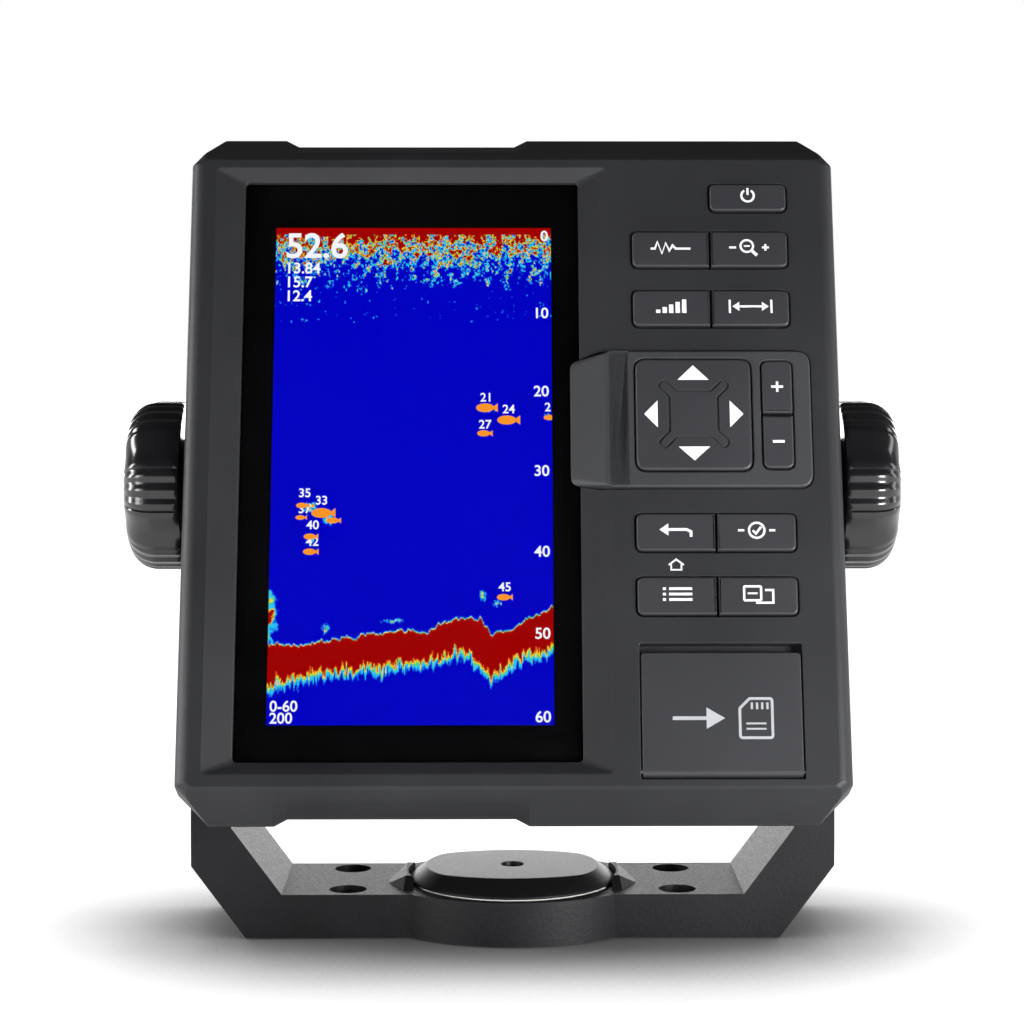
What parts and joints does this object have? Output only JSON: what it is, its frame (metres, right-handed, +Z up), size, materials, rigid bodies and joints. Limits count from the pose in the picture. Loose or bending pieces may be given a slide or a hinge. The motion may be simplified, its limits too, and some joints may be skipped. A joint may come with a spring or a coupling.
{
  "type": "fish finder",
  "caption": "Fish finder: upright colour display with side keys and a four-way pad in a flanged housing, tilting in a U-shaped bail bracket on a swivel base with two clamp knobs.",
  "frame": {"origin": "on the swivel axis, at the underside of the swivel base", "axes": "+Z up the swivel axis, the screen faces -Y and leans back, the tilt axis lies along X"},
  "size_m": [0.1794, 0.1005, 0.1859],
  "materials": {
    "textured_charcoal": "fine-grained moulded",
    "bracket_charcoal": "fine-grained moulded",
    "key_black": "satin",
    "plate_grey": "satin",
    "knob_black": "gloss",
    "socket_black": "satin",
    "disc_grey": "satin",
    "window": "gloss",
    "display": "lit screen",
    "seal_rubber": "matt",
    "bright_steel": "brushed",
    "brass": "bright",
    "nickel": "bright",
    "circuit_board": "lacquered",
    "chip_black": "matt",
    "flat_cable": "film",
    "friction_ring": "natural"
  },
  "bodies": {
    "base": {"swivel_base": "bracket_charcoal", "swivel_disc": "disc_grey", "swivel_screws": "bright_steel"},
    "bracket": {"bail_bracket": "bracket_charcoal", "swivel_ring": "friction_ring"},
    "housing": {"front_bezel": "textured_charcoal", "rear_case": "textured_charcoal", "case_gasket": "seal_rubber", "display_window": "window", "window_gasket": "seal_rubber", "lcd_panel": "display", "lcd_frame": "bright_steel", "lcd_ribbon": "flat_cable", "main_board": "circuit_board", "main_board_parts": "chip_black", "keypad_board": "circuit_board", "dome_switches": "nickel", "keypad_mat": "seal_rubber", "keypad_ribbon": "flat_cable", "card_socket": "bright_steel", "buzzer": "chip_black", "breather_vent": "socket_black", "power_socket": "socket_black", "power_pins": "brass", "sonar_socket": "socket_black", "sonar_pins": "brass", "case_screws": "bright_steel", "board_screws": "bright_steel", "frame_screws": "bright_steel", "left_bushing": "nickel", "right_bushing": "nickel", "pad_plate": "plate_grey", "door_pin": "bright_steel"},
    "power_key": {"power_key": "key_black"},
    "upper_left_key": {"upper_left_key": "key_black"},
    "upper_right_key": {"upper_right_key": "key_black"},
    "second_left_key": {"second_left_key": "key_black"},
    "second_right_key": {"second_right_key": "key_black"},
    "third_left_key": {"third_left_key": "key_black"},
    "third_right_key": {"third_right_key": "key_black"},
    "lower_left_key": {"lower_left_key": "key_black"},
    "lower_right_key": {"lower_right_key": "key_black"},
    "plus_key": {"plus_key": "key_black"},
    "minus_key": {"minus_key": "key_black"},
    "pad_pivot": {"pad_pivot": "bright_steel"},
    "four_way_pad": {"four_way_pad": "key_black"},
    "card_door": {"card_door": "textured_charcoal", "door_seal": "seal_rubber"},
    "left_washer": {"left_washer": "seal_rubber"},
    "left_knob": {"left_knob": "knob_black", "left_stud": "nickel"},
    "right_washer": {"right_washer": "seal_rubber"},
    "right_knob": {"right_knob": "knob_black", "right_stud": "nickel"}
  },
  "joints": [
    {"name": "swivel", "type": "hinge", "parent": "base", "child": "bracket", "pos_m": [0, 0, 0], "axis": [0, 0, 1], "range_deg": [-180, 180]},
    {"name": "tilt", "type": "hinge", "parent": "bracket", "child": "housing", "pos_m": [0, 0, 0.1045], "axis": [-1, 0, 0], "range_deg": [-14, 56]},
    {"name": "power_key_press", "type": "slide", "parent": "housing", "child": "power_key", "axis": [0, 0.9455, -0.3256], "range_m": [0, 0.0007], "stiffness_N_per_m": 2500},
    {"name": "upper_left_key_press", "type": "slide", "parent": "housing", "child": "upper_left_key", "axis": [0, 0.9455, -0.3256], "range_m": [0, 0.0007], "stiffness_N_per_m": 2500},
    {"name": "upper_right_key_press", "type": "slide", "parent": "housing", "child": "upper_right_key", "axis": [0, 0.9455, -0.3256], "range_m": [0, 0.0007], "stiffness_N_per_m": 2500},
    {"name": "second_left_key_press", "type": "slide", "parent": "housing", "child": "second_left_key", "axis": [0, 0.9455, -0.3256], "range_m": [0, 0.0007], "stiffness_N_per_m": 2500},
    {"name": "second_right_key_press", "type": "slide", "parent": "housing", "child": "second_right_key", "axis": [0, 0.9455, -0.3256], "range_m": [0, 0.0007], "stiffness_N_per_m": 2500},
    {"name": "third_left_key_press", "type": "slide", "parent": "housing", "child": "third_left_key", "axis": [0, 0.9455, -0.3256], "range_m": [0, 0.0007], "stiffness_N_per_m": 2500},
    {"name": "third_right_key_press", "type": "slide", "parent": "housing", "child": "third_right_key", "axis": [0, 0.9455, -0.3256], "range_m": [0, 0.0007], "stiffness_N_per_m": 2500},
    {"name": "lower_left_key_press", "type": "slide", "parent": "housing", "child": "lower_left_key", "axis": [0, 0.9455, -0.3256], "range_m": [0, 0.0007], "stiffness_N_per_m": 2500},
    {"name": "lower_right_key_press", "type": "slide", "parent": "housing", "child": "lower_right_key", "axis": [0, 0.9455, -0.3256], "range_m": [0, 0.0007], "stiffness_N_per_m": 2500},
    {"name": "plus_key_press", "type": "slide", "parent": "housing", "child": "plus_key", "axis": [0, 0.9455, -0.3256], "range_m": [0, 0.0007], "stiffness_N_per_m": 2500},
    {"name": "minus_key_press", "type": "slide", "parent": "housing", "child": "minus_key", "axis": [0, 0.9455, -0.3256], "range_m": [0, 0.0007], "stiffness_N_per_m": 2500},
    {"name": "pad_rock_up_down", "type": "hinge", "parent": "housing", "child": "pad_pivot", "pos_m": [0.04105, -0.01843, 0.121], "axis": [1, 0, 0], "range_deg": [-3, 3], "stiffness_Nm_per_rad": 0.35},
    {"name": "pad_rock_left_right", "type": "hinge", "parent": "pad_pivot", "child": "four_way_pad", "pos_m": [0.04105, -0.01843, 0.121], "axis": [0, 0.3256, 0.9455], "range_deg": [-3, 3], "stiffness_Nm_per_rad": 0.35},
    {"name": "door_hinge", "type": "hinge", "parent": "housing", "child": "card_door", "pos_m": [0.0461, -0.04452, 0.044], "axis": [1, 0, 0], "range_deg": [0, 90]},
    {"name": "left_knob_turn", "type": "hinge", "parent": "left_washer", "child": "left_knob", "pos_m": [-0.0765, 0, 0.1045], "axis": [-1, 0, 0], "range_deg": [0, 720]},
    {"name": "left_knob_out", "type": "slide", "parent": "housing", "child": "left_washer", "axis": [-1, 0, 0], "range_m": [0, 0.002]},
    {"name": "right_knob_turn", "type": "hinge", "parent": "right_washer", "child": "right_knob", "pos_m": [0.0765, 0, 0.1045], "axis": [1, 0, 0], "range_deg": [0, 720]},
    {"name": "right_knob_out", "type": "slide", "parent": "housing", "child": "right_washer", "axis": [1, 0, 0], "range_m": [0, 0.002]}
  ],
  "couplings": [
    {"joint": "left_knob_out", "follows": "left_knob_turn", "m_per_rad": 0.00015915},
    {"joint": "right_knob_out", "follows": "right_knob_turn", "m_per_rad": 0.00015915}
  ]
}
